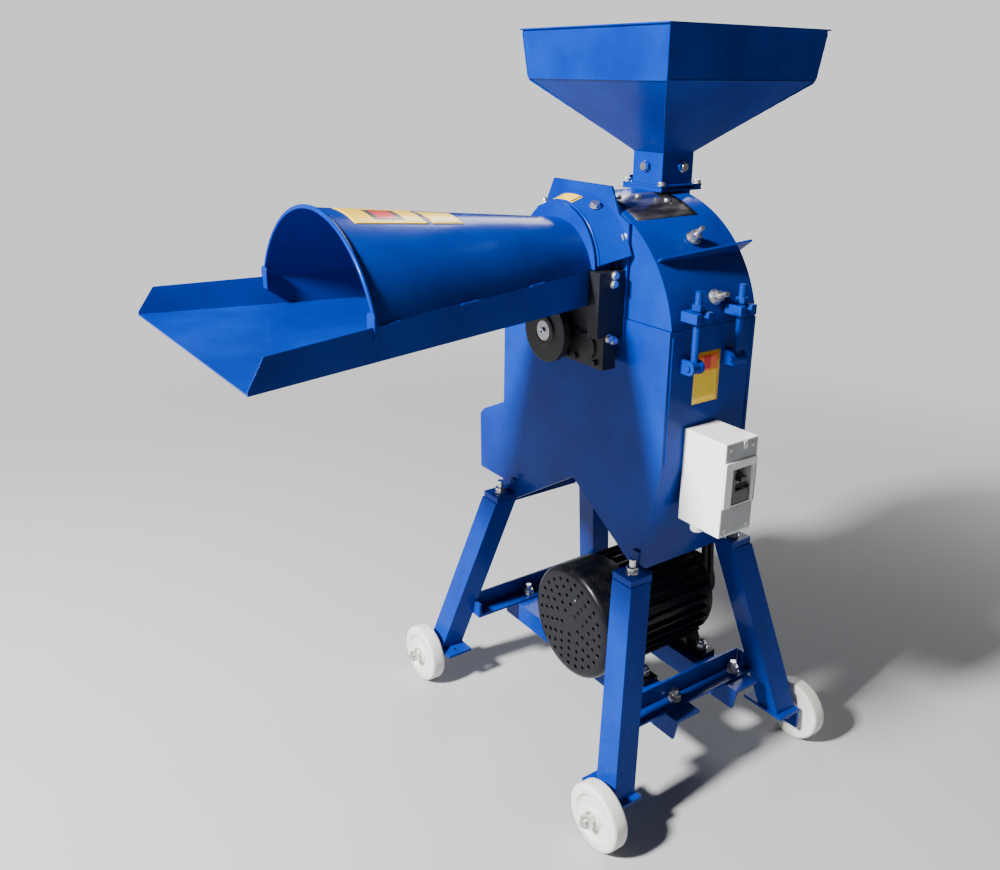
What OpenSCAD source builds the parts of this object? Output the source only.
// Chaff cutter and hammer mill on a wheeled stand, in millimetres, +Z up.
// X runs along the rotor, with the feed chute towards -X; +Y is the discharge side.
// The origin is on the floor, under the middle of the whole machine.

/* [Casing] */
// Length of the casing, from front plate to back plate
casing_l = 170; // [150:1:210]
// Width of the casing, from side wall to side wall
casing_w = 382; // [320:1:460]
// How much wider the cover's arch is than half the casing
arch_over = 3; // [2:0.5:12]
// Height of the rotor's axis above the leg tops
axis_rise = 340; // [280:1:410]
// Height of the split between casing and cover, above the rotor's axis
split_rise = 30; // [24:1:40]
// Gap between casing and cover at the split
split_gap = 1; // [0.5:0.5:2]
// Thickness of the front and back plates
plate_t = 6; // [5:0.5:7]
// Thickness of the walls, the cover and its arches
sheet_t = 4; // [2:0.5:5]
// Height of the notch's tip above the leg tops
notch_rise = 91; // [70:1:110]
// Fall of the bottom edge for each millimetre sideways
notch_slope = 0.635; // [0.4:0.005:0.7]
// How far the right wall leans in at its foot
taper_in = 37; // [20:1:50]
// Height of the bend in the right wall above the leg tops
taper_rise = 167; // [140:1:190]

/* [Discharge] */
// Height of the outlet's lower edge above the leg tops
outlet_rise = 30; // [20:1:40]
// Height of the outlet window
outlet_h = 120; // [90:1:130]
// How far the discharge hood stands out
hood_out = 75; // [50:1:85]
// Thickness of the hood's sheet
hood_t = 3; // [2:0.5:4]

/* [Stand] */
// Height of the leg tops above the floor
leg_h = 366; // [310:1:440]
// Width of the square leg tube
leg_w = 40; // [34:1:44]
// Wall of the leg tube
leg_wall = 3; // [2:0.5:4]
// How far a foot stands out from its leg top, along the rotor
splay_x = 72; // [50:1:90]
// How far a foot stands out from its leg top, sideways
splay_y = 66; // [40:1:80]
// How far a leg top stands in from the side wall
leg_inset = 23; // [20:1:30]
// Thickness of the plates that close a leg
leg_cap_t = 5; // [4:0.5:8]
// Height of the rails' top faces above the floor
rail_h = 130; // [110:1:150]
// Width of each side bar's two flanges
bar_w = 32; // [26:1:36]
// Thickness of a side bar's flanges
bar_t = 4; // [3:0.5:5]
// Width of a motor rail's top flange
rail_w = 50; // [40:1:56]
// Depth of a motor rail's hanging flange
rail_d = 36; // [28:1:44]
// Thickness of a motor rail's flanges
rail_t = 5; // [4:0.5:6]
// How far the rails run out past the side bars
rail_over = 22; // [12:1:30]
// Place of the front rail's bolts along the rotor
rail_x = -22; // [-40:1:-5]
// Distance between the two rails
rail_gap = 132; // [110:1:150]

/* [Wheels] */
// Radius of a wheel
wheel_r = 50; // [40:1:56]
// Width of a wheel
wheel_w = 26; // [20:1:32]
// Radius of an axle bolt
axle_r = 6; // [5:0.5:8]

/* [Motor] */
// Height of the motor's shaft above the rails
motor_h = 96; // [94:1:104]
// How far the motor sits towards the right
motor_off = 44; // [30:1:50]
// Radius of the fan cover
fan_cover_r = 93; // [88:1:93]
// Length of the fan cover
fan_cover_l = 78; // [70:1:90]
// Length of the finned body
motor_l = 150; // [130:1:170]
// Radius of the motor's shaft
motor_shaft_r = 12; // [10:0.5:14]
// Radius of the motor pulley's belt line
motor_pulley_r = 36; // [32:1:40]

/* [Rotor] */
// Radius of the main shaft
shaft_r = 15; // [12:0.5:18]
// Radius swept by the knives and hammers
rotor_r = 150; // [140:1:154]
// Distance of the hammer pins from the axis
hammer_pin_c = 88; // [80:1:92]
// Radius of a hammer pin
hammer_pin_r = 6; // [5:0.5:7]
// Radius of the rotor pulley's belt line
rotor_pulley_r = 45; // [40:1:55]
// Inner radius of the sieve
sieve_r = 160; // [157:1:164]

/* [Feed] */
// Length of the feed tray
tray_l = 542; // [440:1:640]
// Half width of the tray at its tip
tray_tip = 196; // [170:1:220]
// Half width of the tray at the throat
tray_end = 77; // [72:1:82]
// Height of the tray's floor above the rotor's axis
tray_rise = 53; // [50:1:56]
// Height of the tray's walls at the tip
tray_wall_tip = 35; // [25:1:45]
// Height of the tray's walls at the throat
tray_wall_end = 48; // [40:1:52]
// Thickness of the tray's and the chute cover's sheet
tray_t = 2; // [1.5:0.5:3]
// Length of the covered part of the tray
chute_l = 382; // [300:1:440]
// Rise of the chute cover over the walls at its mouth
chute_rise_mouth = 111; // [90:1:130]
// Rise of the chute cover over the walls at the throat
chute_rise_end = 62; // [50:1:70]
// Rise of the throat's hood over its springing, at the chute
hood_rise_front = 80; // [74:1:88]
// Rise of the throat's hood at the mounting plate
hood_rise_back = 78; // [60:1:80]
// Radius of a feed roller
roller_r = 15; // [14:0.5:16]
// Gap between the two feed rollers
roller_gap = 8; // [6:1:10]

/* [Hopper] */
// Place of the hopper's middle along the rotor
hopper_x = 70; // [64:1:74]
// Half width of the hopper at its top
hopper_top = 155; // [130:1:186]
// Half width of the hopper at the foot of its band
hopper_band = 148; // [124:1:178]
// Height of the hopper's band
band_h = 70; // [50:1:90]
// Height of the sloping part
cone_h = 103; // [80:1:130]
// Height of the neck
neck_h = 46; // [36:1:60]
// Half width of the neck
neck_w = 31.5; // [28:0.5:34]
// Thickness of the hopper's sheet
hopper_t = 2; // [1.5:0.5:3]

/* [Fits] */
// Radial play of a shaft or pin in its bore
play = 0.05; // [0.03:0.01:0.08]
// Play of a sliding plate on each face
slide_play = 0.5; // [0.3:0.1:0.8]
// Play of a fixed bolt in its hole
bolt_play = 0.3; // [0.2:0.1:0.5]

/* [Hidden] */
$fn = 64;
BIG = 2000;

half_l = casing_l / 2;
half_w = casing_w / 2;
axis_z = leg_h + axis_rise;
arch_r = half_w + arch_over;
split_z = axis_z + split_rise;
cover_z = split_z + split_gap;
notch_z = leg_h + notch_rise;
taper_z = leg_h + taper_rise;
foot_y = half_w - taper_in;
outlet_z = leg_h + outlet_rise;
inner_l = half_l - plate_t;
BLUE = [0.03, 0.24, 0.75];
DARK = [0.07, 0.07, 0.08];
STEEL = [0.62, 0.63, 0.65];
WHITE = [0.94, 0.94, 0.93];

// Height of the casing's bottom edge at a distance from its middle
function bottom_z(y) = notch_z - notch_slope * y;
// Points of an arc of radius r about [0, z], from angle a to angle b
function arc(r, z, a, b, n) = [for (i = [0:n]) let (t = a + (b - a) * i / n) [r * cos(t), z + r * sin(t)]];

// An outline in Y and Z, made solid from x along +X
module along_x(x, length) translate([x, 0, 0]) rotate([90, 0, 90]) linear_extrude(length) children();
// An outline in X and Z, made solid from y along +Y
module along_y(y, length) translate([0, y + length, 0]) rotate([90, 0, 0]) linear_extrude(length) children();
// A rod along X from x, at y and z
module rod_x(x, y, z, r, length, n = 64) translate([x, y, z]) rotate([0, 90, 0])
    cylinder(r = r, h = length, $fn = n);
// A rod along Y from y, at x and z
module rod_y(x, y, z, r, length, n = 64) translate([x, y, z]) rotate([-90, 0, 0])
    cylinder(r = r, h = length, $fn = n);
// A block given by its lowest and highest corners
module block(a, b) translate(a) cube(b - a);
// Turns a part of the front right corner to the corner with the given signs
module corner(sx, sy) mirror([sx > 0 ? 1 : 0, 0, 0]) mirror([0, sy > 0 ? 1 : 0, 0]) children();
module four_corners() for (sx = [-1, 1], sy = [-1, 1]) corner(sx, sy) children();
// Moves the machine so that the origin lies under its middle
module machine() translate([-mid_x, 0, 0]) children();

// ---- Casing ----
bearing_hole_r = 24;
bearing_w = 60;
bearing_h = 60;
bearing_t = 6;
bearing_bolt_y = 46;
m8_r = 4;

module plate_outline() polygon([[half_w, split_z], [half_w, bottom_z(half_w)], [0, notch_z],
    [-foot_y, bottom_z(foot_y)], [-half_w, taper_z], [-half_w, split_z]]);
module bearing_holes() {
    translate([0, axis_z]) circle(r = bearing_hole_r);
    for (s = [-1, 1]) translate([s * bearing_bolt_y, axis_z]) circle(r = m8_r + bolt_play, $fn = 24);
}
module leg_lugs(sx) for (sy = [-1, 1]) corner(sx, sy) difference() {
    union() {
        block([-leg_top_x - leg_w / 2, -leg_top_y - leg_w / 2, leg_h],
            [-half_l, -leg_top_y + leg_w / 2, leg_h + lug_plate_t]);
        block([-half_l - bar_t, -leg_top_y + leg_w / 2 - 14, leg_h + lug_plate_t],
            [-half_l, -leg_top_y + leg_w / 2, leg_h + 30]);
    }
    translate([-leg_top_x, -leg_top_y, leg_h - 20]) cylinder(r = m10_r + bolt_play, h = 60);
}
module front_plate() machine() color(BLUE) difference() {
    union() {
        along_x(-half_l, plate_t) difference() {
            plate_outline();
            bearing_holes();
        }
        leg_lugs(-1);
    }
    rod_x(-half_l - 1, -mount_bolt_y, mount_bolt_z, m8_r + bolt_play, plate_t + 2);
    rod_x(-half_l - 1, mount_bolt_y, mount_bolt_z, m8_r + bolt_play, plate_t + 2);
}
module back_plate() machine() color(BLUE) {
    along_x(half_l - plate_t, plate_t) difference() {
        plate_outline();
        bearing_holes();
    }
    leg_lugs(1);
}
module right_wall() machine() color(BLUE) {
    side_wall_right();
    latch_lugs();
}
module side_wall_right() along_x(-inner_l, 2 * inner_l) polygon([
    [-half_w, split_z], [-half_w, taper_z], [-foot_y, bottom_z(foot_y)],
    [-foot_y + sheet_t, bottom_z(foot_y)], [-half_w + sheet_t, taper_z], [-half_w + sheet_t, split_z]]);
outlet_l = inner_l - 20;
module left_wall() machine() color(BLUE) {
    side_wall_left();
    hinge_lower();
}
module side_wall_left() difference() {
    block([-inner_l, half_w - sheet_t, bottom_z(half_w)], [inner_l, half_w, split_z]);
    block([-outlet_l, half_w - sheet_t - 1, outlet_z], [outlet_l, half_w + 1, outlet_z + outlet_h]);
}
floor_t = 3;
module discharge_floor() machine() color(BLUE) along_x(-inner_l, 2 * inner_l) polygon([
    [-half_w + sheet_t, taper_z + floor_t], [half_w - sheet_t, outlet_z],
    [half_w - sheet_t, outlet_z - floor_t], [-half_w + sheet_t, taper_z]]);
// The hood turns the meal downwards; its outline inset by d
hood_shoulder = 12;
hood_top = 11;
hood_drop = 31;
hood_foot = 14;
module hood_outline(d) polygon([[half_w - (d > 0 ? 1 : 0), outlet_z + outlet_h + hood_top - d],
    [half_w + hood_out - hood_shoulder - d / 2, outlet_z + outlet_h + hood_top - hood_drop - d],
    [half_w + hood_out - d, outlet_z + outlet_h + hood_top - hood_drop - hood_shoulder - d / 2],
    [half_w + hood_out - 3 - d, outlet_z - hood_foot - (d > 0 ? 1 : 0)],
    [half_w - (d > 0 ? 1 : 0), outlet_z - hood_foot - (d > 0 ? 1 : 0)]]);
module discharge_hood() machine() color(BLUE) difference() {
    along_x(-half_l + 2, 2 * half_l - 4) hood_outline(0);
    along_x(-half_l + 2 + hood_t, 2 * half_l - 4 - 2 * hood_t) hood_outline(hood_t);
}
sieve_t = 2;
sieve_l = 114;
sieve_x = -44;
sieve_rows = 9;
sieve_hole_r = 5;
module sieve() machine() color(STEEL) translate([sieve_x, 0, axis_z]) rotate([0, 90, 0]) difference() {
    rotate([0, 0, -75]) rotate_extrude(angle = 150) translate([sieve_r, 0]) square([sieve_t, sieve_l]);
    for (i = [0:sieve_rows - 1], j = [0:3]) rotate([0, 0, -64 + 128 * i / (sieve_rows - 1)])
        translate([sieve_r - 3, 0, sieve_l * (j + 0.7) / 4.4]) rotate([0, 90, 0])
            cylinder(r = sieve_hole_r, h = 8, $fn = 16);
}

// ---- Feed throat ----
mount_t = 4;
mount_x = -half_l - mount_t;
mount_half = 104;
mount_foot = 30;
mount_bolt_y = 88;
mount_bolt_z = axis_z - 4;
mount_side = 164;
mount_top = 211;
window_half = 73;
window_top = 156;
roller_z1 = axis_z + tray_rise - roller_r;
roller_z2 = roller_z1 + 2 * roller_r + roller_gap;
throat_l = 38;
throat_x = mount_x - throat_l;
roller_x = mount_x - 23;
bearing_front_x = mount_x - bearing_t;
module feed_mount_plate() machine() color(BLUE) along_x(mount_x, mount_t) difference() {
    polygon([[-mount_half, axis_z - mount_foot], [mount_half, axis_z - mount_foot],
        [mount_half, axis_z + mount_side], [82, axis_z + mount_side + 10], [64, axis_z + mount_top],
        [-64, axis_z + mount_top], [-82, axis_z + mount_side + 10], [-mount_half, axis_z + mount_side]]);
    translate([-window_half, axis_z + 26]) square([2 * window_half, window_top - 26]);
    bearing_holes();
    for (s = [-1, 1]) translate([s * mount_bolt_y, mount_bolt_z]) circle(r = m8_r + bolt_play, $fn = 24);
}
throat_t = 3;
bush_r = 13;
bush_l = 6;
roller_shaft_r = 8;
module throat_side() {
    along_y(-tray_end - throat_t, throat_t) polygon([[throat_x, axis_z + 20], [mount_x, axis_z + 20],
        [mount_x, axis_z + 138], [throat_x, axis_z + 116]]);
    for (z = [roller_z1, roller_z2]) rod_y(roller_x, -tray_end - throat_t - bush_l, z, bush_r, bush_l);
}
module throat_sides() machine() color(BLUE) difference() {
    for (m = [0, 1]) mirror([0, m, 0]) throat_side();
    for (z = [roller_z1, roller_z2])
        rod_y(roller_x, -tray_end - 20, z, roller_shaft_r + play, 2 * tray_end + 40);
}
// Section of the throat's hood: half width w, springing z, rise h, thinner by d
module arch_section(w, z, h, d) let (r = (w * w + h * h) / (2 * h), a = asin(min(1, w / r)))
    polygon(concat(arc(r - d, z + h - r, 90 - a, 90 + a, 20),
        [[-w + d, z - (d > 0 ? 1 : 0)], [w - d, z - (d > 0 ? 1 : 0)]]));
module arch_hull(x1, w1, z1, h1, x2, w2, z2, h2, d) hull() {
    along_x(x1, 0.1) arch_section(w1, z1, h1, d);
    along_x(x2 - 0.1, 0.1) arch_section(w2, z2, h2, d);
}
hood_w1 = tray_end + 10;
hood_w2 = 112;
hood_z1 = axis_z + tray_rise + tray_wall_end + 6;
hood_z2 = axis_z + 122;
module throat_hood() machine() color(BLUE) difference() {
    arch_hull(throat_x, hood_w1, hood_z1, hood_rise_front, mount_x, hood_w2, hood_z2, hood_rise_back, 0);
    arch_hull(throat_x - 0.2, hood_w1, hood_z1, hood_rise_front,
        mount_x + 0.2, hood_w2, hood_z2, hood_rise_back, tray_t);
    block([throat_x - 1, -hood_w2, axis_z], [mount_x + 1, hood_w2, hood_z1 - 0.5]);
}
shear_t = 7;
module shear_plate() machine() color(STEEL)
    block([roller_x + roller_r + 1, -window_half + 1, axis_z + tray_rise - shear_t],
        [-half_l + plate_t + 2, window_half - 1, axis_z + tray_rise]);
gear_box_l = 24;
gear_box_x = bearing_front_x - 5 - gear_box_l;
gear_box_top = 14;
gear_boss_r = 22;
gear_box_foot = 40;
module gear_housing() machine() color(DARK) {
    worm_box();
    gear_cover();
}
module worm_box() difference() {
    union() {
        block([gear_box_x, gear_cover_y, axis_z - gear_box_foot],
            [gear_box_x + gear_box_l, 34, axis_z + gear_box_top]);
        rod_x(gear_box_x - 4, 0, axis_z, gear_boss_r, 5);
        rod_x(gear_box_x - 3, -66, axis_z - 12, 20, 4);
        for (y = [-86, -44, -24], z = [axis_z - 32, axis_z + 8])
            if (y != -24 || z < axis_z) rod_x(gear_box_x - 5, y, z, 5, 6, 6);
    }
    rod_x(gear_box_x - 10, 0, axis_z, shaft_r + 2, gear_box_l + 20);
}
gear_y = -tray_end - throat_t - bush_l - 2;
gear_w = 9;
gear_cover_y = gear_y - gear_w - 5;
gear_cover_t = 2;
gear_cover_r = roller_r + roller_gap / 2 + 5;
module gear_cover() difference() {
    block([roller_x - gear_cover_r, gear_cover_y, axis_z + gear_box_top - 6],
        [mount_x, -tray_end - throat_t, roller_z2 + gear_cover_r]);
    block([roller_x - gear_cover_r + gear_cover_t, gear_cover_y + gear_cover_t, axis_z + gear_box_top - 4],
        [mount_x + 1, -tray_end - throat_t + 1, roller_z2 + gear_cover_r - 1]);
}
module flange_bearing(x, side) difference() {
    union() {
        along_x(x, bearing_t) intersection() {
            translate([-bearing_w, axis_z - bearing_h / 2]) square([2 * bearing_w, bearing_h]);
            translate([0, axis_z]) circle(r = bearing_w);
        }
        rod_x(side < 0 ? x - 2 : x, 0, axis_z, bearing_hole_r + 4, bearing_t + 2);
        rod_x(side < 0 ? x : x - 8, 0, axis_z, bearing_hole_r - 0.5, bearing_t + 8);
        for (s = [-1, 1]) {
            rod_x(side < 0 ? x - 4 : x + bearing_t, s * bearing_bolt_y, axis_z, 7, 4, 6);
            rod_x(side < 0 ? x : x - plate_t, s * bearing_bolt_y, axis_z, m8_r,
                side < 0 ? -inner_l - x : plate_t + 1);
        }
    }
    rod_x(x - 20, 0, axis_z, shaft_r + play, bearing_t + 40);
}
module front_bearing() machine() color(DARK) flange_bearing(bearing_front_x, -1);
module back_bearing() machine() color(DARK) flange_bearing(half_l, 1);

// ---- Feed tray and chute cover ----
tray_x = throat_x - tray_l;
tray_z = axis_z + tray_rise;
tray_lean = atan((tray_tip - tray_end) / tray_l);
wall_l = tray_l / cos(tray_lean);
tray_cut = 21;
module tray_wall() translate([throat_x, -tray_end, tray_z]) rotate([0, 0, tray_lean])
    translate([-wall_l, 0, 0]) along_y(0, tray_t) polygon([[0, -tray_t], [wall_l, -tray_t],
        [wall_l, tray_wall_end], [tray_cut, tray_wall_tip], [0, 3]]);
module feed_tray() machine() color(BLUE) {
    translate([0, 0, tray_z - tray_t]) linear_extrude(tray_t) polygon([
        [throat_x, -tray_end + tray_t / 2], [throat_x, tray_end - tray_t / 2],
        [tray_x, tray_tip - tray_t / 2], [tray_x, -tray_tip + tray_t / 2]]);
    for (m = [0, 1]) mirror([0, m, 0]) tray_wall();
}
chute_x = throat_x - chute_l;
mouth_w = tray_end + (tray_tip - tray_end) * chute_l / tray_l;
mouth_wall = tray_wall_end + (tray_wall_tip - tray_wall_end) * chute_l / (tray_l - tray_cut);
seam_gap = 0.5;
mouth_z = tray_z + mouth_wall + seam_gap;
end_z = tray_z + tray_wall_end + seam_gap;
rim_w = 3;
flange_w = 9;
flange_rise = hood_z1 + hood_rise_front - end_z - chute_rise_end;
module chute_cover() machine() color(BLUE) difference() {
    union() {
        arch_hull(chute_x, mouth_w, mouth_z, chute_rise_mouth, throat_x, tray_end, end_z, chute_rise_end, 0);
        along_x(chute_x - 1, 4) arch_section(mouth_w + rim_w, mouth_z, chute_rise_mouth + rim_w, 0);
        along_x(throat_x - 2, 2) arch_section(tray_end + flange_w, end_z, chute_rise_end + flange_rise, 0);
    }
    arch_hull(chute_x - 1.2, mouth_w, mouth_z, chute_rise_mouth,
        throat_x + 0.2, tray_end, end_z, chute_rise_end, tray_t);
}

// ---- Stand ----
leg_top_x = half_l + leg_w / 2 + 1.5;
leg_top_y = half_w - leg_inset;
foot_top = wheel_r + 16;
leg_drop = leg_h - foot_top;
foot_cx = leg_top_x + splay_x;
foot_cy = leg_top_y + splay_y;
leg_len = norm([splay_x, splay_y, leg_drop]);
lean_a = asin(splay_y / leg_len);
lean_b = atan(splay_x / leg_drop);
m10_r = 5;
wheel_gap = 3;
tab_t = 5;
wheel_x = foot_cx + leg_w / 2 + 3 + wheel_gap;
axle_y = foot_cy + 10;
module leg_bar(w, extra) translate([-foot_cx, -foot_cy, foot_top]) rotate([-lean_a, lean_b, 0])
    translate([-w / 2, -w / 2, -extra]) cube([w, w, leg_len + 2 * extra]);
// A leg with its welded cap, foot plate and axle tab, at the front right corner
module leg() difference() {
    union() {
        difference() {
            leg_bar(leg_w, 30);
            leg_bar(leg_w - 2 * leg_wall, 40);
            block([-BIG, -BIG, leg_h - leg_cap_t], [0, 0, BIG]);
            block([-BIG, -BIG, -BIG], [0, 0, foot_top]);
        }
        block([-leg_top_x - leg_w / 2, -leg_top_y - leg_w / 2, leg_h - leg_cap_t],
            [-half_l, -leg_top_y + leg_w / 2, leg_h]);
        block([-foot_cx - leg_w / 2 - 3, -axle_y - 20, foot_top - leg_cap_t],
            [-foot_cx + leg_w / 2 + 4, -foot_cy + foot_hole_in + 12, foot_top]);
        block([-foot_cx - leg_w / 2 - 3, -axle_y - 20, wheel_r - 20],
            [-foot_cx - leg_w / 2 - 3 + tab_t, -axle_y + 20, foot_top - leg_cap_t]);
    }
    rod_x(-wheel_x - 10, -axle_y, wheel_r, axle_r + bolt_play, 60);
    translate([-leg_top_x, -leg_top_y, leg_h - 20]) cylinder(r = m10_r + bolt_play, h = 60);
    translate([-foot_cx, -foot_cy + foot_hole_in, foot_top - 20]) cylinder(r = foot_hole_r, h = 30);
}
foot_hole_r = 4.5;
foot_hole_in = 36;
module leg_front_right() machine() color(BLUE) leg();
module leg_front_left() machine() color(BLUE) corner(-1, 1) leg();
module leg_back_right() machine() color(BLUE) corner(1, -1) leg();
module leg_back_left() machine() color(BLUE) corner(1, 1) leg();
lug_plate_t = 6;
// Middle of a leg, measured along one direction, at a height
function leg_at(top, splay, z) = top + splay * (leg_h - z) / leg_drop;
bar_y = leg_at(leg_top_y, splay_y, rail_h) - leg_w / 2 - bar_w / 2 + 8;
bar_end = leg_at(leg_top_x, splay_x, rail_h) - leg_w / 2 - 2;
module side_bar(s) difference() {
    union() {
        block([-bar_end, s * bar_y - bar_w / 2, rail_h], [bar_end, s * bar_y + bar_w / 2, rail_h + bar_t]);
        block([-bar_end + 8, s * bar_y + bar_w / 2 - bar_t, rail_h + bar_t],
            [bar_end - 8, s * bar_y + bar_w / 2, rail_h + bar_w]);
        for (e = [-1, 1]) block([e * bar_end - 2.5, s * bar_y - bar_w / 2, rail_h],
            [e * bar_end + 2.5, s * bar_y + bar_w / 2, rail_h + bar_w - 6]);
    }
    for (x = [rail_x, rail_x + rail_gap])
        translate([x, s * bar_y, rail_h - 1]) cylinder(r = m10_r + bolt_play, h = bar_t + 2);
}
module side_bars() machine() color(BLUE) difference() {
    for (s = [-1, 1]) side_bar(s);
    four_corners() leg_bar(leg_w + 0.4, 40);
}
rail_end = bar_y + bar_w / 2 + rail_over;
module motor_rails() machine() color(BLUE) for (x = [rail_x, rail_x + rail_gap]) difference() {
    union() {
        block([x - rail_w / 2 - 8, -rail_end, rail_h - rail_t], [x + rail_w / 2 - 8, rail_end, rail_h]);
        translate([x - rail_w / 2 - 8, 0, 0]) rotate([90, 0, 90]) linear_extrude(rail_t) polygon([
            [-rail_end, rail_h - rail_t], [rail_end, rail_h - rail_t],
            [rail_end - 16, rail_h - rail_d], [-rail_end + 6, rail_h - rail_d]]);
    }
    for (s = [-1, 1]) translate([x, s * bar_y, rail_h - 20]) cylinder(r = m10_r + bolt_play, h = 40);
    for (s = [-1, 1]) translate([x, -motor_off + s * foot_bolt_y, rail_h - 20])
        cylinder(r = m10_r + bolt_play, h = 40);
}
// A bolt up from z1 to z2, with its head below and a washer and nut above z_nut
module stud(r, z1, z2, z_nut, head = true) {
    translate([0, 0, z1]) cylinder(r = r, h = z2 - z1);
    if (head) translate([0, 0, z1 - 7]) cylinder(r = r * 1.85, h = 7, $fn = 6);
    translate([0, 0, z_nut]) difference() {
        union() {
            cylinder(r = r * 2.1, h = 1.6);
            translate([0, 0, 1.6]) cylinder(r = r * 1.85, h = 8, $fn = 6);
        }
        cylinder(r = r - 0.01, h = 30, center = true);
    }
}
module frame_bolts() machine() color(STEEL) {
    four_corners() translate([-leg_top_x, -leg_top_y, 0])
        stud(m10_r, leg_h - leg_cap_t, leg_h + lug_plate_t + 22, leg_h + lug_plate_t);
    for (x = [rail_x, rail_x + rail_gap], s = [-1, 1]) {
        translate([x, s * bar_y, 0]) stud(m10_r, rail_h - rail_t, rail_h + bar_t + 18, rail_h + bar_t);
        translate([x, -motor_off + s * foot_bolt_y, 0])
            stud(m10_r, rail_h - rail_t, rail_h + foot_pad_t + 14, rail_h + foot_pad_t);
    }
    for (s = [-1, 1]) {
        rod_x(mount_x - 5, s * mount_bolt_y, mount_bolt_z, m8_r * 1.8, 5, 6);
        rod_x(mount_x - 1, s * mount_bolt_y, mount_bolt_z, m8_r, mount_t + plate_t + 1);
    }
}
axle_out = 18;
module axle_bolts() machine() color(STEEL) four_corners() {
    rod_x(-wheel_x - wheel_w - axle_out, -axle_y, wheel_r, axle_r,
        wheel_w + axle_out + wheel_gap + tab_t + 8);
    rod_x(-foot_cx - leg_w / 2 - 3 + tab_t, -axle_y, wheel_r, axle_r * 1.8, 7, 6);
    difference() {
        union() {
            rod_x(-wheel_x - wheel_w - 3.4, -axle_y, wheel_r, 12, 3);
            rod_x(-wheel_x - wheel_w - 13.4, -axle_y, wheel_r, axle_r * 1.8, 10, 6);
        }
        rod_x(-wheel_x - wheel_w - 30, -axle_y, wheel_r, axle_r - 0.01, 60);
    }
}
module wheel() difference() {
    translate([-wheel_x - wheel_w, -axle_y, wheel_r]) rotate([0, 90, 0]) rotate_extrude() polygon(concat(
        [[axle_r + play, 0], [15, 0], [17, 4], [32, 4], [36, 0], [wheel_r - 5, 0]],
        [for (i = [0:5]) [wheel_r - 5 + 5 * sin(i * 18), 5 - 5 * cos(i * 18)]],
        [for (i = [0:5]) [wheel_r - 5 + 5 * cos(i * 18), wheel_w - 5 + 5 * sin(i * 18)]],
        [[36, wheel_w], [32, wheel_w - 4], [17, wheel_w - 4], [15, wheel_w], [axle_r + play, wheel_w]]));
    rod_x(-wheel_x - wheel_w - 1, -axle_y, wheel_r, axle_r + play, wheel_w + 2);
}
mid_x = (wheel_x + wheel_w + axle_out + tray_x) / 2;

// ---- Motor ----
motor_z = rail_h + motor_h;
motor_y = -motor_off;
motor_r = fan_cover_r - 9;
foot_centre = rail_x - 8 + rail_gap / 2;
motor_x = foot_centre - motor_l / 2;
fin_count = 32;
foot_bolt_y = 78;
foot_pad_t = 10;
wall_in = 10;
module motor_body() machine() color(DARK) {
    motor_frame();
    motor_feet();
    terminal_box();
}
module motor_frame() difference() {
    union() {
        rod_x(motor_x, motor_y, motor_z, motor_r, motor_l);
        for (i = [0:fin_count - 1]) translate([motor_x + 6, motor_y, motor_z])
            rotate([i * 360 / fin_count, 0, 0]) translate([0, -1.5, motor_r - 3])
                cube([motor_l - 12, 3, 10.5]);
    }
    rod_x(motor_x + wall_in, motor_y, motor_z, motor_r - 8, motor_l);
    rod_x(motor_x - 1, motor_y, motor_z, motor_shaft_r + play, motor_l);
    block([motor_x - 1, motor_y - 100, rail_h - 20],
        [motor_x + motor_l + 1, motor_y + 100, motor_z - motor_r + 3]);
}
vent_rings = 5;
cover_round = 12;
cover_t = 2;
// The fan cover's outline, radius against length, with its wall moved in by d
function dish(d) = concat([[0, d]], [for (i = [0:4]) let (t = i * 22.5, r = cover_round - d)
    [fan_cover_r - cover_round + r * sin(t), cover_round - r * cos(t)]],
    [[fan_cover_r - d, fan_cover_l + d], [0, fan_cover_l + d]]);
module motor_fan_cover() machine() color(DARK) difference() {
    translate([motor_x - fan_cover_l, motor_y, motor_z]) rotate([0, 90, 0]) rotate_extrude($fn = 96)
        difference() {
            polygon(dish(0));
            polygon(dish(cover_t));
        }
    for (k = [1:vent_rings], i = [0:5 * k - 1]) translate([motor_x - fan_cover_l - 1, motor_y, motor_z])
        rotate([(i + 0.5 * (k % 2)) * 360 / (5 * k), 0, 0]) translate([0, 0, 13 * k + 8])
            rotate([0, 90, 0]) cylinder(r = 3.2, h = 5, $fn = 14);
}
shield_l = 24;
module motor_end_shield() machine() color(DARK) difference() {
    union() {
        rod_x(motor_x + motor_l, motor_y, motor_z, motor_r + 1, 10);
        rod_x(motor_x + motor_l + 10, motor_y, motor_z, motor_r - 18, shield_l - 14);
        rod_x(motor_x + motor_l, motor_y, motor_z, 34, shield_l);
    }
    rod_x(motor_x + motor_l - 1, motor_y, motor_z, motor_shaft_r + play, shield_l + 2);
    block([motor_x, motor_y - 100, 0],
        [motor_x + 2 * motor_l, motor_y + 100, motor_z - motor_r + 1]);
}
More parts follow.
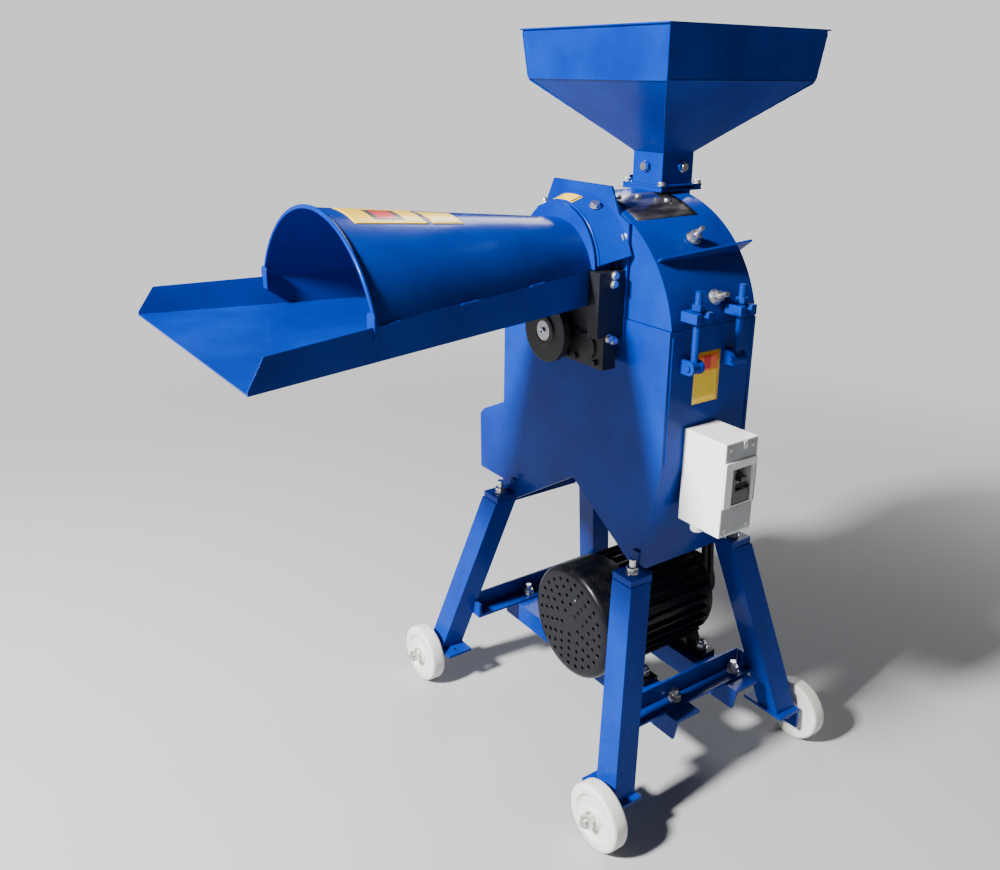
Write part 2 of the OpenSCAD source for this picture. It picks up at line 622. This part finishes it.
module motor_feet() for (x = [rail_x, rail_x + rail_gap]) difference() {
    along_x(x - 16, 30) polygon([
        [motor_y - foot_bolt_y - 18, rail_h], [motor_y + foot_bolt_y + 18, rail_h],
        [motor_y + foot_bolt_y + 18, rail_h + foot_pad_t], [motor_y + 62, rail_h + foot_pad_t],
        [motor_y + 54, rail_h + 32], [motor_y - 54, rail_h + 32],
        [motor_y - 62, rail_h + foot_pad_t], [motor_y - foot_bolt_y - 18, rail_h + foot_pad_t]]);
    rod_x(motor_x, motor_y, motor_z, motor_r - 3, motor_l);
    rod_x(motor_x + motor_l, motor_y, motor_z, motor_r + 2, 60);
    for (s = [-1, 1]) translate([x, motor_y + s * foot_bolt_y, rail_h - 1])
        cylinder(r = m10_r + bolt_play, h = 40);
}
module terminal_box() difference() {
    union() {
        block([foot_centre - 10, motor_y - 38, motor_z + motor_r - 6],
            [foot_centre + 62, motor_y + 38, motor_z + motor_r + 30]);
        block([foot_centre - 13, motor_y - 41, motor_z + motor_r + 30],
            [foot_centre + 65, motor_y + 41, motor_z + motor_r + 37]);
    }
    rod_x(motor_x, motor_y, motor_z, motor_r - 3, motor_l);
}
pulley_x = max(motor_x + motor_l + shield_l, half_l + 30) + 8;
belt_pitch = 15;
belt_w = 10;
belt_h = 8;
module pulley(y, z, r, hub, bore) translate([pulley_x, y, z]) rotate([0, 90, 0])
    rotate_extrude() polygon(concat([[bore, 0], [r + 5, 0], [r + 5, 2.5]],
    [for (k = [0:1], p = [[r + 5, 0], [r - 5, 1.5], [r - 5, 10.5], [r + 5, 12]])
        [p[0], p[1] + 2.5 + k * belt_pitch]],
    [[r + 5, 2 * belt_pitch + 2], [hub, 2 * belt_pitch + 2],
        [hub, 2 * belt_pitch + 8], [bore, 2 * belt_pitch + 8]]));
module belt_loop(d) hull() {
    translate([0, axis_z]) circle(r = rotor_pulley_r + d);
    translate([motor_y, motor_z]) circle(r = motor_pulley_r + d);
}
module drive_belts() machine() color(DARK) for (k = [0:1])
    along_x(pulley_x + 2.5 + 6 - (belt_w - 2) / 2 + k * belt_pitch, belt_w - 2) difference() {
        belt_loop(belt_h / 2);
        belt_loop(-belt_h / 2);
    }
fan_hub_x = motor_x - 52;
module motor_shaft() machine() color(STEEL) {
    rod_x(fan_hub_x - 6, motor_y, motor_z, motor_shaft_r, pulley_x + 40 - fan_hub_x);
    rod_x(fan_hub_x, motor_y, motor_z, 26, 34);
    for (i = [0:6]) translate([fan_hub_x + 4, motor_y, motor_z]) rotate([i * 360 / 7 + 3, 0, 0])
        translate([0, -1.5, 23]) cube([26, 3, 54]);
}
module motor_pulley() machine() color(STEEL)
    pulley(motor_y, motor_z, motor_pulley_r, 24, motor_shaft_r + 0.01);

// ---- Switch box ----
box_x = -44;
box_l = 64;
box_out = 78;
box_z = leg_h + 86;
box_h = 140;
module switch_box() machine() color(WHITE) difference() {
    block([box_x, -half_w - box_out + 30, box_z], [box_x + box_l, -half_w, box_z + box_h]);
    block([box_x + front_t, -half_w - box_out + 29, box_z + front_t],
        [box_x + box_l - front_t, -half_w - front_t, box_z + box_h - front_t]);
}
front_t = 3;
lever_x = box_x + 38;
lever_z = box_z + 78;
window_side = 6;
module switch_box_front() machine() color(WHITE) difference() {
    block([box_x, -half_w - box_out, box_z], [box_x + box_l, -half_w - box_out + 30, box_z + box_h]);
    block([box_x + front_t, -half_w - box_out + front_t, box_z + front_t],
        [box_x + box_l - front_t, -half_w - box_out + 31, box_z + box_h - front_t]);
    block([box_x + 16, -half_w - box_out - 1, lever_z - 33],
        [box_x + box_l - window_side, -half_w - box_out + 5, lever_z + 22]);
    for (x = [16, box_l - 16]) translate([box_x + x, -half_w - box_out + 16, box_z - 1])
        cylinder(r = 8, h = 6);
}
module switch_lever() machine() color(DARK) {
    rod_x(lever_x - 9, -half_w - box_out + 12, lever_z, 9, 18);
    block([lever_x - 6, -half_w - box_out - 4, lever_z + 1],
        [lever_x + 6, -half_w - box_out + 12, lever_z + 8]);
}

// ---- Cover ----
module cover_outline(d) intersection() {
    translate([0, axis_z]) circle(r = arch_r - d, $fn = 128);
    translate([-half_w + d, cover_z - (d > 0 ? 1 : 0)]) square([2 * (half_w - d), 2 * arch_r]);
}
inlet_w = 26;
module cover_shell() machine() color(BLUE) {
    cover_skin();
    cover_arches();
    hinge_upper();
}
module cover_skin() difference() {
    union() {
        along_x(-inner_l, 2 * inner_l) difference() {
            cover_outline(0);
            cover_outline(sheet_t);
        }
        translate([0, 0, axis_z]) rotate([-38, 0, 0]) mirror([0, 1, 0])
            translate([0, 0, -1.5]) linear_extrude(3) polygon([
                [-inner_l, arch_r - 2], [inner_l, arch_r - 2],
                [inner_l, arch_r + 30], [-inner_l, arch_r + 8]]);
    }
    block([hopper_x - inlet_w - 3, -inlet_w, axis_z + 80], [inner_l + 1, inlet_w, axis_z + arch_r + 5]);
    for (a = shear_bolt_angles) breaker_bolt_axis(a) cylinder(r = m8_r + bolt_play, h = 60, $fn = 24);
}
module cover_arches() {
    along_x(-inner_l - sheet_t, sheet_t) difference() {
        cover_outline(0);
        translate([-window_half - 1, cover_z - 1])
            square([2 * window_half + 2, axis_z + window_top - cover_z + 1]);
    }
    along_x(inner_l, sheet_t) difference() {
        cover_outline(0);
        translate([-inlet_w, axis_z + 130]) square([2 * inlet_w, 100]);
    }
}
shear_bolt_angles = [20, 46];
shear_bolt_x = 3;
module breaker_bolt_axis(a) translate([shear_bolt_x, 0, axis_z]) rotate([90 - a, 0, 0])
    translate([0, 0, arch_r - 30]) children();
breaker_t = 12;
module breaker_plate() machine() color(STEEL) translate([0, 0, axis_z]) difference() {
    rotate([0, 90, 0]) translate([0, 0, -40]) difference() {
        rotate([0, 0, -168]) rotate_extrude(angle = 46, $fn = 128)
            translate([arch_r - sheet_t - breaker_t, 0]) square([breaker_t - 0.3, 80]);
        for (i = [0:7]) rotate([0, 0, -164 + i * 5.4]) translate([arch_r - sheet_t - breaker_t, 0, -1])
            cylinder(r = 5, h = 90, $fn = 4);
    }
    translate([0, 0, -axis_z]) for (a = shear_bolt_angles) breaker_bolt_axis(a)
        cylinder(r = m8_r + bolt_play, h = 60, $fn = 24);
    block([-50, -half_w - 20, -60], [50, -half_w + sheet_t + 0.3, 200]);
}
module cover_bolts() machine() color(STEEL) for (a = shear_bolt_angles) breaker_bolt_axis(a) {
    translate([0, 0, 19]) cylinder(r = m8_r, h = 37);
    translate([0, 0, 31.5]) difference() {
        union() {
            cylinder(r = 11, h = 2.5);
            cylinder(r = 8.5, h = 12, $fn = 6);
        }
        cylinder(r = m8_r - 0.01, h = 50, center = true);
    }
}
latch_x = [-52, 33];
latch_y = -half_w - 16;
latch_z = split_z - 50;
keeper_z = split_z + 14;
keeper_h = 14;
swing_r = 5;
module keeper_blocks() machine() color(BLUE) for (x = latch_x) difference() {
    block([x - 16, latch_y - 14, keeper_z], [x + 16, -half_w, keeper_z + keeper_h]);
    block([x - swing_r - slide_play, latch_y - 20, keeper_z - 1],
        [x + swing_r + slide_play, latch_y + swing_r + 1, keeper_z + keeper_h + 1]);
}
lug_t = 5;
eye_r = 10;
eye_w = 11;
module latch_lugs() for (x = latch_x) {
    difference() {
        for (s = [-1, 1]) translate([s * (eye_w / 2 + 0.5 + lug_t / 2) - lug_t / 2, 0, 0]) union() {
            rod_x(x, latch_y, latch_z, eye_r, lug_t);
            block([x, latch_y, latch_z - eye_r], [x + lug_t, -half_w, latch_z + eye_r]);
        }
        rod_x(x - 20, latch_y, latch_z, m8_r + play, 40);
    }
    rod_x(x - eye_w / 2 - lug_t - 3, latch_y, latch_z, m8_r, eye_w + 2 * lug_t + 6);
}
bolt_top = 42;
module swing_bolt(x) color(BLUE) difference() {
    union() {
        rod_x(x - eye_w / 2, latch_y, latch_z, eye_r - 1, eye_w);
        translate([x, latch_y, latch_z]) cylinder(r = swing_r, h = keeper_z - latch_z + bolt_top);
    }
    rod_x(x - 20, latch_y, latch_z, m8_r + play, 40);
}
latch_gap = 2;
module latch_nut(x) color(BLUE) translate([x, latch_y, keeper_z + keeper_h + latch_gap]) difference() {
    cylinder(r = 9, h = 8, $fn = 6);
    translate([0, 0, -1]) cylinder(r = swing_r + 0.01, h = 20);
}
hinge_y = half_w + 12;
hinge_z = split_z + 2;
hinge_r = 8;
hinge_pin_r = 5;
knuckle = 28;
module knuckle_block(x0, x1, up) {
    rod_x(x0, hinge_y, hinge_z, hinge_r, x1 - x0);
    if (up) block([x0, half_w, hinge_z], [x1, hinge_y, hinge_z + 26]);
    else block([x0, half_w, hinge_z - 30], [x1, hinge_y, hinge_z - 6]);
}
module hinge_lower() difference() {
    for (x = [-knuckle - 36, knuckle + 1]) knuckle_block(x, x + 35, false);
    rod_x(-100, hinge_y, hinge_z, hinge_pin_r + play, 200);
}
module hinge_upper() difference() {
    knuckle_block(-knuckle, knuckle, true);
    rod_x(-100, hinge_y, hinge_z, hinge_pin_r + play, 200);
}
module hinge_pin() machine() color(STEEL)
    rod_x(-knuckle - 40, hinge_y, hinge_z, hinge_pin_r, 2 * knuckle + 80);

// ---- Grain inlet and hopper ----
inlet_top = axis_z + arch_r + 2;
seat_w = 42;
seat_t = 3;
gate_t = 2;
gate_w = 26;
gate_z = inlet_top + slide_play;
hopper_z = inlet_top + gate_t + 2 * slide_play;
module inlet_box() machine() color(BLUE) {
    difference() {
        union() {
            along_y(-inlet_w - 3, 2 * inlet_w + 6) polygon([[hopper_x - inlet_w - 6, inlet_top],
                [hopper_x + inlet_w + 6, inlet_top], [hopper_x + inlet_w + 6, inlet_top - 34],
                [inner_l + sheet_t, inlet_top - 66], [inner_l + sheet_t, inlet_top - 70],
                [hopper_x - inlet_w - 6, inlet_top - 70]]);
            block([hopper_x - seat_w, -seat_w, inlet_top - seat_t], [hopper_x + seat_w, seat_w, inlet_top]);
        }
        difference() {
            rod_x(-BIG, 0, axis_z, arch_r + 0.05, 2 * BIG, 128);
            block([inner_l + sheet_t, -BIG, 0], [BIG, BIG, BIG]);
        }
        along_y(-inlet_w, 2 * inlet_w) polygon([[hopper_x - inlet_w, inlet_top + 1],
            [hopper_x + inlet_w, inlet_top + 1], [hopper_x + inlet_w, inlet_top - 33],
            [inner_l + sheet_t - 2, inlet_top - 62], [hopper_x - inlet_w, inlet_top - 62]]);
    }
    for (s = [-1, 1]) block([hopper_x + s * (gate_w + slide_play + 7.5) - 7, -seat_w, inlet_top],
        [hopper_x + s * (gate_w + slide_play + 7.5) + 7, seat_w, hopper_z]);
}
module gate() machine() color(STEEL) {
    block([hopper_x - gate_w, -inlet_w - 3, gate_z], [hopper_x + gate_w, seat_w + 6, gate_z + gate_t]);
    block([hopper_x - gate_w, seat_w + 4, gate_z + gate_t], [hopper_x + gate_w, seat_w + 6, gate_z + 14]);
}
neck_z = hopper_z + seat_t + neck_h;
band_z = neck_z + cone_h;
module funnel(z, h, w1, w2) translate([hopper_x, 0, z]) linear_extrude(h, scale = w2 / w1)
    square(2 * w1, center = true);
module hopper() machine() color(BLUE) difference() {
    union() {
        block([hopper_x - seat_w, -seat_w, hopper_z], [hopper_x + seat_w, seat_w, hopper_z + seat_t]);
        block([hopper_x - neck_w, -neck_w, hopper_z], [hopper_x + neck_w, neck_w, neck_z]);
        funnel(neck_z, cone_h, neck_w, hopper_band);
        funnel(band_z, band_h, hopper_band, hopper_top);
        block([hopper_x - hopper_top - 3, -hopper_top - 3, band_z + band_h - 2],
            [hopper_x + hopper_top + 3, hopper_top + 3, band_z + band_h]);
        rod_x(hopper_x - neck_w - 5, 0, neck_z - 20, 7, 6, 6);
        rod_y(hopper_x + 6, -neck_w - 5, neck_z - 20, 7, 6, 6);
    }
    block([hopper_x - neck_w + hopper_t, -neck_w + hopper_t, hopper_z - 1],
        [hopper_x + neck_w - hopper_t, neck_w - hopper_t, neck_z + 0.1]);
    funnel(neck_z, cone_h, neck_w - hopper_t, hopper_band - hopper_t);
    funnel(band_z - 0.01, band_h + 0.02, hopper_band - hopper_t, hopper_top - hopper_t);
}

// ---- Rotor ----
disc_x = -inner_l + 9;
disc_t = 8;
disc_r = rotor_r - 10;
module main_shaft() machine() color(STEEL) rod_x(hub_x - 2, 0, axis_z, shaft_r, pulley_x + 42 - hub_x);
module knife_disc() machine() color(STEEL) {
    difference() {
        union() {
            rod_x(disc_x, 0, axis_z, disc_r, disc_t);
            rod_x(disc_x, 0, axis_z, 32, 28);
        }
        rod_x(disc_x - 1, 0, axis_z, shaft_r + 0.01, 60);
    }
    for (a = [30, 150, 270]) translate([0, 0, axis_z]) rotate([a, 0, 0]) {
        block([disc_x - 5, 12, 50], [disc_x, 44, rotor_r - 12]);
        block([disc_x + disc_t, 0, 46], [disc_x + disc_t + 26, 5, rotor_r - 8]);
    }
}
ham_x = -14;
ham_gap = 22;
ham_t = 6;
plate_gap = 74;
ham_plate_r = hammer_pin_c + 16;
module hammer_plates() machine() color(STEEL) {
    difference() {
        union() {
            for (x = [ham_x, ham_x + plate_gap]) rod_x(x, 0, axis_z, ham_plate_r, ham_t);
            rod_x(ham_x, 0, axis_z, 30, plate_gap + ham_t);
        }
        rod_x(ham_x - 10, 0, axis_z, shaft_r + 0.01, plate_gap + 40);
        for (i = [0:3]) translate([0, 0, axis_z]) rotate([i * 90 + 45, 0, 0])
            rod_x(ham_x - 10, 0, hammer_pin_c, hammer_pin_r + 0.01, 120, 32);
    }
    for (i = [0:3]) translate([0, 0, axis_z]) rotate([i * 90 + 45, 0, 0])
        rod_x(ham_x - 4, 0, hammer_pin_c, hammer_pin_r, plate_gap + ham_t + 8, 32);
}
module hammers(i) color(STEEL) translate([0, 0, axis_z]) rotate([i * 90 + 45, 0, 0]) difference() {
    for (k = [0:2]) block([ham_x + ham_t + 9 + k * ham_gap, -16, hammer_pin_c - 14],
        [ham_x + ham_t + 14 + k * ham_gap, 16, rotor_r - 3]);
    rod_x(ham_x, 0, hammer_pin_c, hammer_pin_r + play, 120, 32);
}
module rotor_pulley() machine() color(STEEL) pulley(0, axis_z, rotor_pulley_r, 28, shaft_r + 0.01);
hub_x = gear_box_x - 26;
hub_r = 47;
module shaft_hub() machine() color(DARK) difference() {
    union() {
        rod_x(hub_x, 0, axis_z, hub_r, 12);
        rod_x(hub_x + 12, 0, axis_z, 22, 8);
        rod_x(hub_x - 3, 0, axis_z, 24, 4);
    }
    rod_x(hub_x - 10, 0, axis_z, shaft_r + 0.01, 60);
}

// ---- Feed rollers ----
gear_teeth = 14;
gear_pitch_r = roller_r + roller_gap / 2;
module gear_outline(turn) rotate(turn) polygon([for (i = [0:gear_teeth - 1],
    p = [[-0.5, -3], [-0.14, -3], [-0.05, 2.4], [0.05, 2.4], [0.14, -3]])
    let (t = (i + p[0]) * 360 / gear_teeth, r = gear_pitch_r + p[1]) [r * cos(t), r * sin(t)]]);
module roller(z, turn) color(STEEL) {
    difference() {
        union() {
            rod_y(roller_x, -tray_end + 1, z, roller_r - 3, 2 * tray_end - 2);
            for (i = [0:9]) translate([roller_x, 0, z]) rotate([0, i * 36 + turn, 0])
                block([-1.5, -tray_end + 2, roller_r - 5], [1.5, tray_end - 2, roller_r - 0.2]);
        }
        rod_y(roller_x, -tray_end - 20, z, roller_shaft_r - 0.01, 2 * tray_end + 40);
    }
    rod_y(roller_x, gear_y - gear_w - 2, z, roller_shaft_r, 2 * tray_end + throat_t + bush_l + gear_w + 14);
    translate([roller_x, gear_y, z]) rotate([90, 0, 0]) linear_extrude(gear_w) difference() {
        gear_outline(turn);
        circle(r = roller_shaft_r - 0.01);
    }
}
module lower_roller() machine() roller(roller_z1, 90);
module upper_roller() machine() roller(roller_z2, 90 + 180 / gear_teeth);
module wheel_front_right() machine() color(WHITE) wheel();
module wheel_front_left() machine() color(WHITE) corner(-1, 1) wheel();
module wheel_back_right() machine() color(WHITE) corner(1, -1) wheel();
module wheel_back_left() machine() color(WHITE) corner(1, 1) wheel();
module swing_bolt_front() machine() swing_bolt(latch_x[0]);
module swing_bolt_back() machine() swing_bolt(latch_x[1]);
module latch_nut_front() machine() latch_nut(latch_x[0]);
module latch_nut_back() machine() latch_nut(latch_x[1]);
module hammers_1() machine() hammers(0);
module hammers_2() machine() hammers(1);
module hammers_3() machine() hammers(2);
module hammers_4() machine() hammers(3);

front_plate();
back_plate();
right_wall();
left_wall();
discharge_floor();
discharge_hood();
sieve();
feed_mount_plate();
throat_sides();
throat_hood();
shear_plate();
gear_housing();
front_bearing();
back_bearing();
feed_tray();
chute_cover();
leg_front_right();
leg_front_left();
leg_back_right();
leg_back_left();
side_bars();
motor_rails();
frame_bolts();
axle_bolts();
hinge_pin();
motor_body();
motor_fan_cover();
motor_end_shield();
switch_box();
switch_box_front();
drive_belts();
cover_shell();
keeper_blocks();
breaker_plate();
cover_bolts();
inlet_box();
hopper();
gate();
main_shaft();
knife_disc();
hammer_plates();
rotor_pulley();
shaft_hub();
hammers_1();
hammers_2();
hammers_3();
hammers_4();
swing_bolt_front();
swing_bolt_back();
latch_nut_front();
latch_nut_back();
lower_roller();
upper_roller();
motor_shaft();
motor_pulley();
switch_lever();
wheel_front_right();
wheel_front_left();
wheel_back_right();
wheel_back_left();
